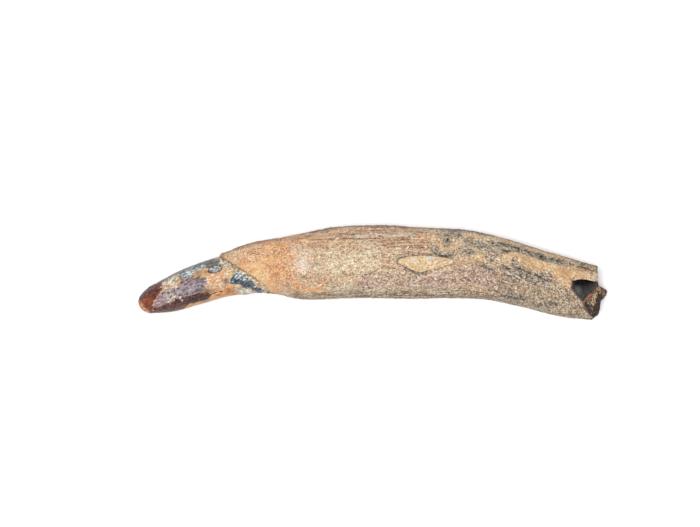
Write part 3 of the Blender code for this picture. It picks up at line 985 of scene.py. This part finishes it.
def patch_field(corners, x, angle, half_width, half_line=None):
    """How far each point is inside a patch of the surface, or inside a line of half width half_line."""
    angles = [surface_angle(*corner) for corner in corners]
    middle = (min(angles) + max(angles)) / 2
    starts_x = [corner[0] for corner in corners]
    value = np.full(x.shape, -FAR)
    near = (x > min(starts_x) - FAR) & (x < max(starts_x) + FAR)
    along, half = x[near], half_width[near]
    side = across(angle[near], middle, half)
    ends = [(start_x, math.radians(turn - middle) * half) for start_x, turn in zip(starts_x, angles)]
    if half_line is None:
        value[near] = outline_distance(ends, along, side)
    else:
        distances = [line_distance(start, end, along, side) for start, end in zip(ends, ends[1:])]
        value[near] = np.maximum(half_line - np.min(distances, axis=0), -FAR)
    return value


def spot_field(spot, x, angle, half_width):
    """About how far each point is inside a round patch of the surface."""
    middle_x, middle, half_length, half_across = spot
    reach = np.hypot((x - middle_x) / half_length, across(angle, middle, half_width) / half_across)
    return np.maximum((1 - reach) * min(half_length, half_across), -FAR)


def make_fields(x, angle, half_width):
    """How far each point is inside every patch of the surface, in millimetres. It is negative outside."""
    fields = {}
    for name in sorted({*PATCHES, *SPOTS, *LINES}):
        values = [patch_field(corners, x, angle, half_width) for corners in PATCHES.get(name, ())]
        values += [spot_field(spot, x, angle, half_width) for spot in SPOTS.get(name, ())]
        for half_line, *corners in LINES.get(name, ()):
            values.append(patch_field(corners, x, angle, half_width, half_line))
        fields[name] = np.max(values, axis=0)
    # the band along the convex side that gets painted shade
    fields["rim"] = RIM - np.abs(across(angle, 90, half_width))
    return fields


def break_fields(points):
    """How far each point is inside the patches of the break."""
    fields = {"beyond_ridge": ridge_distance(points[:, 0], points[:, 1])}
    for name, outlines in BREAK_PATCHES.items():
        inside = [outline_distance(corners, points[:, 0], points[:, 1]) for corners in outlines]
        fields[name] = np.max(inside, axis=0)
    return fields


def pit_relief(x, angle, half_width):
    """The pits, which are negative."""
    draw = np.random.default_rng(SEED)
    strays = zip(
        draw.uniform(CEMENT_MIDDLE_X + CEMENT_SLANT, BREAK_START_X, STRAY_PITS),
        draw.uniform(-180, 180, STRAY_PITS),
        draw.uniform(*STRAY_PIT_RADII, STRAY_PITS),
        draw.uniform(*STRAY_PIT_DEPTHS, STRAY_PITS),
    )
    placed = [(pit_x, surface_angle(pit_x, pit_y), *shape) for pit_x, pit_y, *shape in PITS]
    height = np.zeros_like(x)
    for middle_x, middle, radius, depth in [*placed, *strays]:
        reach = radius * PIT_FLARE
        near = np.abs(x - middle_x) < reach
        side = across(angle[near], middle, half_width[near])
        height[near] -= depth * hump(np.hypot(x[near] - middle_x, side), reach)
    return height


def fine_relief(points, straight, angle, half_width, fields, cement, broken):
    """How far each point is moved along its normal for crust, cracks, pits, flakes and crumbs."""
    root = ramp(cement + CEMENT_EDGE / 2, CEMENT_EDGE) * (1 - broken)
    crown = (1 - broken) - root
    rough = 1 - SMOOTHED * ramp(fields["smooth"] + SMOOTHED_START)
    beyond = ridge_distance(points[:, 0], points[:, 1])
    shares = {"root": root * rough, "crown": crown, "break": broken}
    shares["crumbs"] = broken * ramp(beyond + MUD_START, MUD_EDGE)
    for name, edge in CRUST_EDGES.items():
        shares[name] = crown * ramp(fields[name], edge)
    crack = np.clip(1 - np.abs(grain(straight, CRACK_SIZE, FRESH)) / CRACK_WIDTH, 0, 1)
    height = -root * CRACK_DEPTH * crack * ramp(grain(straight, CRACK_GAPS, 2 * FRESH) + CRACK_SHARE)
    for name, (rise, edge) in RAISED.items():
        height += (1 - broken) * rise * ramp(fields[name] + edge / 2, edge)
    for index, (where, size, rise) in enumerate(ROUGHNESS):
        height += shares[where] * rise * grain(points, size, FRESH * index)
    return height + pit_relief(points[:, 0], angle, half_width) * root


def store(mesh, name, values):
    """Keeps a number, or three, for each point under name."""
    kind, key = ("FLOAT", "value") if values.ndim == 1 else ("FLOAT_VECTOR", "vector")
    mesh.attributes.new(name, kind, "POINT").data.foreach_set(key, values.astype(np.float32).ravel())


def make_tooth():
    """The fine tooth, which stands for the plain one of the frame."""
    mesh = chipped_mesh([surface_material(), break_material()])
    points = triples(mesh.vertices, "co")
    broken = broken_points(mesh)
    middle_y, middle_z, half_y, half_z = section(points[:, 0], capped=False)
    side_y, side_z = points[:, 1] - middle_y, points[:, 2] - middle_z
    angle = np.arctan2(side_y / half_y, side_z / half_z)
    straight = np.stack([points[:, 0], side_y, side_z], axis=-1)
    fields = make_fields(points[:, 0], angle, half_y)
    cement = cement_distance(points, angle) + ragged_edge(points)
    height = fine_relief(points, straight, angle, half_y, fields, cement, broken)
    points += triples(mesh.vertex_normals, "vector") * height[:, None]
    points[:, 2] = np.maximum(points[:, 2], 0.0)
    mesh.vertices.foreach_set("co", (points * MM).astype(np.float32).ravel())
    inside = (1 - np.hypot(side_y / half_y, side_z / half_z)) * half_y
    kept = {**fields, **break_fields(points), "cement": cement, "inside": inside, "straight": straight}
    for name, values in kept.items():
        store(mesh, name, values)
    mesh.shade_smooth()
    mesh.set_sharp_from_angle(angle=SHARP_EDGE)
    mesh.update()
    tooth = linked_object("fossil_tooth", mesh)
    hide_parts("tooth")
    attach(tooth, "root")


class Paint:
    """Short calls for the shader nodes of one material. Every pattern is a fresh one."""

    def __init__(self, name):
        self.material = bpy.data.materials.new(name)
        self.material.use_nodes = True
        self.tree = self.material.node_tree
        self.shader = self.tree.nodes["Principled BSDF"]
        self.shader.inputs["Specular IOR Level"].default_value = SHEEN
        self.place = self.field("straight", "Vector")
        self.shift = 0.0

    def node(self, kind, inputs=None, **settings):
        """A new node with its settings, and its inputs linked or set."""
        made = self.tree.nodes.new(kind)
        for name, value in settings.items():
            setattr(made, name, value)
        for name, value in (inputs or {}).items():
            self.plug(made.inputs[name], value)
        return made

    def plug(self, socket, value):
        """Links value to socket, or sets it where it is plain."""
        if isinstance(value, bpy.types.NodeSocket):
            self.tree.links.new(value, socket)
        else:
            socket.default_value = value

    def field(self, name, output="Fac"):
        """A number that the mesh keeps for each point."""
        return self.node("ShaderNodeAttribute", attribute_name=name).outputs[output]

    def spread(self, size, stretch):
        """Places on the straightened tooth, in lumps of size, stretch times longer along it."""
        self.shift += FRESH
        scale = (1 / (size * stretch), 1 / size, 1 / size)
        inputs = {"Vector": self.place, "Location": (self.shift,) * 3, "Scale": scale}
        return self.node("ShaderNodeMapping", inputs).outputs["Vector"]

    def grain(self, size, stretch=1.2, detail=1.0):
        """Noise round 0.5 with lumps of size millimetres."""
        inputs = {"Vector": self.spread(size, stretch), "Scale": 1.0, "Detail": detail}
        return self.node("ShaderNodeTexNoise", inputs).outputs["Fac"]

    def cells(self, size, stretch=1.2):
        """Distance to the nearest of points that lie about size millimetres apart."""
        inputs = {"Vector": self.spread(size, stretch), "Scale": 1.0}
        return self.node("ShaderNodeTexVoronoi", inputs).outputs["Distance"]

    def noise(self, name):
        """The noise of that name."""
        return self.grain(*NOISES[name])

    def wander(self, name):
        """How far that thing's edges are moved, in millimetres to either side."""
        parts = []
        for size, stretch, reach in WANDERS[name]:
            sway = self.add(self.times(self.grain(size, stretch, DETAIL), SWAY), -SWAY / 2)
            parts.append(self.times(sway, reach))
        return self.add(*parts)

    def ragged(self, name, field=None):
        """The field, or the one of that name, with its edge moved."""
        return self.add(field or self.field(name), self.wander(name))

    def above(self, value, low, high):
        """Rises smoothly from 0 where value is low to 1 where it is high."""
        inputs = {"Value": value, "From Min": low, "From Max": high}
        return self.node("ShaderNodeMapRange", inputs, interpolation_type="SMOOTHSTEP").outputs["Result"]

    def edge(self, name, value=None):
        """0 before the edge of that name and 1 past it, in value or else in the field of that name."""
        return self.above(value or self.field(name), *EDGES[name])

    def thin(self, name, value):
        """1 on the thin line of that name, falling to 0 beside it."""
        middle, reach = THIN[name]
        return self.above(self.maths("ABSOLUTE", self.add(value, -middle)), reach, reach / 3)

    def maths(self, operation, first, second=0.0):
        """Two numbers worked out together."""
        made = self.node("ShaderNodeMath", operation=operation)
        self.plug(made.inputs[0], first)
        self.plug(made.inputs[1], second)
        return made.outputs["Value"]

    def add(self, *values):
        """The sum of the values."""
        total = values[0]
        for value in values[1:]:
            total = self.maths("ADD", total, value)
        return total

    def times(self, *values):
        """The product of the values."""
        total = values[0]
        for value in values[1:]:
            total = self.maths("MULTIPLY", total, value)
        return total

    def between(self, share, low, high):
        """Low where share is 0, and high where it is 1."""
        return self.add(self.times(share, high - low), low)

    def mix(self, share, first, second):
        """The colour that is first where share is 0 and second where it is 1."""
        made = self.node("ShaderNodeMix", data_type="RGBA")
        self.plug(made.inputs[0], share)
        self.plug(made.inputs[6], first)
        self.plug(made.inputs[7], second)
        return made.outputs[2]

    def scaled(self, colour, scale):
        """The colour times scale."""
        inputs = {"Vector": colour, "Scale": scale}
        return self.node("ShaderNodeVectorMath", inputs, operation="SCALE").outputs["Vector"]

    def pattern(self, size, dark, light, stretch=1.5):
        """Lumps of two colours that blend."""
        return self.mix(self.above(self.grain(size, stretch, DETAIL), *BLEND), tint(*dark), tint(*light))

    def coat(self, colour, name, *shares):
        """The colour with the coat of that name on top of it."""
        most, new = COATS[name]
        return self.mix(self.times(*shares, most), colour, tint(*new))

    def layered(self, colour, layers, wander):
        """The colour with those layers on top of it."""
        for name, size, dark, light, reach, soft, most in layers:
            field = self.add(self.field(name), self.times(wander, reach))
            share = self.times(self.above(field, -soft, soft), most)
            colour = self.mix(share, colour, self.pattern(size, dark, light))
        return colour

    def finish(self, colour, roughness, height):
        """Joins the colour, roughness and bumps to the shader."""
        bump = self.node("ShaderNodeBump", {"Height": height, "Distance": BUMP * MM, "Strength": 1.0})
        self.plug(self.shader.inputs["Base Color"], colour)
        self.plug(self.shader.inputs["Roughness"], roughness)
        self.plug(self.shader.inputs["Normal"], bump.outputs["Normal"])
        return self.material


def speckled(paint, colour, crust, grit):
    """The colour with sand, crumbs, threads and pores of those strengths, and the height of the bumps."""
    light = paint.mix(CREAM_SHARE, paint.scaled(colour, CREAM_GAIN), tint(*CREAM))
    dark = paint.scaled(colour, PORE_TONE)
    sand = paint.above(paint.noise("sand"), *BLEND)
    crumbs = paint.edge("crumbs", paint.noise("crumbs"))
    pores = paint.edge("pores", paint.noise("pores"))
    loops = paint.noise("threads")
    crevices, threads = (paint.thin(name, loops) for name in ("crevices", "threads"))
    colour = paint.mix(grit, colour, paint.scaled(colour, paint.between(sand, *SAND_TONES)))
    grains = {"crevices": (crevices, dark), "threads": (threads, light)}
    grains |= {"pores": (pores, dark), "crumbs": (crumbs, light)}
    for name, (share, tone) in grains.items():
        colour = paint.mix(paint.times(share, crust, GRAIN_MOST[name]), colour, tone)
    return colour, paint.add(crumbs, threads, paint.times(pores, -1.0))


def root_crust(paint):
    """How crumbly the root is: less so in its calm patches and towards the crown."""
    calm = -FAR
    for name, start in CALM.items():
        calm = paint.maths("MAXIMUM", paint.add(paint.field(name), -start), calm)
    crumbly = paint.between(paint.edge("calm", calm), 1.0, CALM_CRUST)
    along = paint.node("ShaderNodeSeparateXYZ", {"Vector": paint.place}).outputs["X"]
    return paint.times(crumbly, paint.between(paint.edge("crust", along), *ROOT_CRUST))


def root_paint(paint):
    """Colour and height of the cement."""
    wander = paint.wander("root")
    colour = paint.layered(paint.pattern(*PATTERNS["root"]), ROOT_LAYERS, wander)
    crust = root_crust(paint)
    colour, height = speckled(paint, colour, crust, crust)
    curls = paint.thin("curls", paint.cells(CURL))
    colour = paint.coat(colour, "curls", curls, paint.edge("curls"))
    colour = streak_paint(paint, colour)
    colour = stain_paint(paint, colour)
    colour = paint.layered(colour, ROOT_DETAILS, paint.wander("details"))
    colour = lens_paint(paint, colour)
    return rim_shaded(paint, colour, "root", wander), height


def streak_paint(paint, colour):
    """Thin dark and cream streaks along the sides of the root."""
    sides = paint.maths("MAXIMUM", paint.field("russet"), paint.field("umber"))
    streaked, streaks = paint.edge("streaked", sides), paint.noise("streaks")
    for name in ("dark_streaks", "pale_streaks"):
        colour = paint.coat(colour, name, paint.edge(name, streaks), streaked)
    return colour


def stain_paint(paint, colour):
    """Grey stains with dark veins, and the black marks in them."""
    smudged = paint.edge("smudge", paint.ragged("smudge"))
    veins = paint.thin("veins", paint.noise("veins"))
    blots = paint.edge("blots", paint.noise("blots"))
    colour = paint.coat(colour, "smudge", smudged)
    colour = paint.coat(colour, "veins", veins, smudged)
    colour = paint.coat(colour, "blots", blots, smudged)
    black = paint.ragged("soot")
    for name in ("soot_halo", "soot"):
        colour = paint.coat(colour, name, paint.edge(name, black))
    return colour


def lens_paint(paint, colour):
    """The pale spindle where a flake is missing, with a dotted painted shadow along its edge and two bluish
    specks.
    """
    colour = paint.coat(colour, "lens_edge_shadow", paint.edge("lens_edge_shadow", paint.ragged("lens")))
    inner = paint.coat(paint.pattern(*PATTERNS["lens"]), "lens")
    inner = paint.coat(inner, "bright", paint.edge("bright", paint.noise("bright")))
    return paint.coat(paint.mix(paint.edge("lens"), colour, inner), "snow", paint.edge("snow"))


def rim_shaded(paint, colour, part, wander):
    """The colour with painted shade along the convex side of the root or the crown."""
    rim = paint.add(paint.field("rim"), paint.times(wander, RIM_SHADE_REACH[part]))
    return paint.coat(colour, f"{part}_rim_shade", paint.edge(f"{part}_rim_shade", rim))


def crown_paint(paint):
    """Colour and height of the bare crown and of what is stuck to it."""
    wander = paint.wander("crown")
    colour = paint.layered(paint.pattern(*PATTERNS["crown"]), CROWN_LAYERS, wander)
    colour, height = speckled(paint, colour, CROWN_CRUST, CROWN_GRIT)
    colour = ring_paint(paint, colour)
    colour = paint.coat(colour, "web", paint.thin("web", paint.noise("web")), paint.edge("web"))
    colour = paint.layered(colour, STUCK_LAYERS, paint.wander("stuck"))
    return fringe_paint(paint, rim_shaded(paint, colour, "crown", wander)), height


def ring_paint(paint, colour):
    """An oval mark with a dark edge and a mottled pale middle."""
    ring = paint.ragged("ring")
    inside = paint.times(paint.edge("ring", ring), RING_MOST)
    colour = paint.mix(inside, colour, paint.pattern(*PATTERNS["ring"]))
    return paint.coat(colour, "ring", paint.thin("ring", ring))


def fringe_paint(paint, colour):
    """Cream crumbs along the cement's edge."""
    cement = paint.field("cement")
    crumbs = paint.times(paint.edge("fringe", paint.ragged("fringe", cement)), FRINGE_MOST)
    colour = paint.coat(colour, "fringe_shade", paint.edge("fringe_shade", cement))
    return paint.mix(crumbs, colour, paint.pattern(*PATTERNS["fringe"]))


def surface_material():
    """The weathered outside: cement on the root, and the crown's bare dentine and enamel."""
    paint = Paint("fossil_surface")
    root, root_height = root_paint(paint)
    crown, crown_height = crown_paint(paint)
    cement = paint.edge("cement")
    colour = paint.mix(cement, crown, root)
    colour = paint.coat(colour, "cement", paint.thin("cement", paint.field("cement")))
    bare = paint.between(cement, 1.0, 0.0)
    height = paint.add(paint.times(cement, root_height), paint.times(bare, crown_height))
    return paint.finish(colour, paint.between(cement, CROWN_ROUGH, ROOT_ROUGH), height)


def break_material():
    """The broken end: dark dentine with a painted sheen, growth lines, a crumbly core and a thin ring of
    cement.
    """
    paint = Paint("fossil_break")
    beyond, wander = paint.field("beyond_ridge"), paint.wander("break")
    # the dark slope, with a painted sheen near its corner
    colour = paint.coat(paint.pattern(*PATTERNS["slope"]), "painted_sheen", paint.edge("painted_sheen"))
    waves = paint.maths("SINE", paint.add(paint.times(beyond, WAVE), paint.wander("waves")))
    colour = paint.coat(colour, "waves", paint.edge("waves", waves), paint.edge("waved", beyond))
    ridge = paint.add(beyond, paint.times(wander, SEAM_REACH))
    mud, seam = (paint.pattern(*PATTERNS[name]) for name in ("mud", "seam"))
    colour = paint.mix(paint.edge("seam", ridge), colour, seam)
    colour = paint.mix(paint.edge("mud", ridge), colour, mud)
    colour = paint.layered(colour, BREAK_LAYERS, wander)
    shell = paint.add(paint.field("inside"), paint.times(wander, SHELL_REACH))
    colour = paint.coat(colour, "shell", paint.edge("shell", shell))
    rough = paint.between(paint.edge("rough", ridge), DARK_ROUGH, ROOT_ROUGH)
    return paint.finish(colour, rough, paint.noise("break"))


def make_floor():
    """A pale, matt floor at the height that the tooth rests on."""
    mesh = bpy.data.meshes.new("floor")
    ends = (-FLOOR_HALF, FLOOR_HALF)
    mesh.from_pydata([(x, y, 0) for y in ends for x in ends], [], [(0, 1, 3, 2)])
    material = bpy.data.materials.new("floor_paper")
    material.use_nodes = True
    shader = material.node_tree.nodes["Principled BSDF"]
    shader.inputs["Base Color"].default_value = (FLOOR_GREY, FLOOR_GREY, FLOOR_GREY, 1.0)
    shader.inputs["Roughness"].default_value = FLOOR_ROUGH
    shader.inputs["Specular IOR Level"].default_value = SHEEN
    mesh.materials.append(material)
    linked_object("floor", mesh)


def make_light():
    """A large soft lamp above, and an even pale sky."""
    world = bpy.data.worlds.new("studio")
    world.use_nodes = True
    sky = world.node_tree.nodes["Background"]
    sky.inputs["Color"].default_value = (1.0, 1.0, 1.0, 1.0)
    sky.inputs["Strength"].default_value = WORLD_LIGHT
    bpy.context.scene.world = world
    lamp = bpy.data.lights.new("key", "AREA")
    lamp.energy = KEY_POWER
    lamp.size = KEY_SIZE
    key = linked_object("key", lamp)
    key.location = KEY_PLACE
    key.rotation_euler = key.location.to_track_quat("Z", "Y").to_euler()


def make_camera():
    """A long lens straight above the tooth, framed as the photograph is."""
    data = bpy.data.cameras.new("camera")
    data.lens = LENS
    data.sensor_width = SENSOR
    data.clip_start = CLIP_START
    camera = linked_object("camera", data)
    low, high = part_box("tooth")
    distance = PHOTO_WIDE * MM * LENS / SENSOR
    camera.location = (PHOTO_MIDDLE[0] * MM, PHOTO_MIDDLE[1] * MM, (low.z + high.z) / 2 + distance)
    bpy.context.scene.camera = camera


make_tooth()
make_floor()
make_light()
make_camera()
bpy.context.scene.view_settings.view_transform = "Standard"
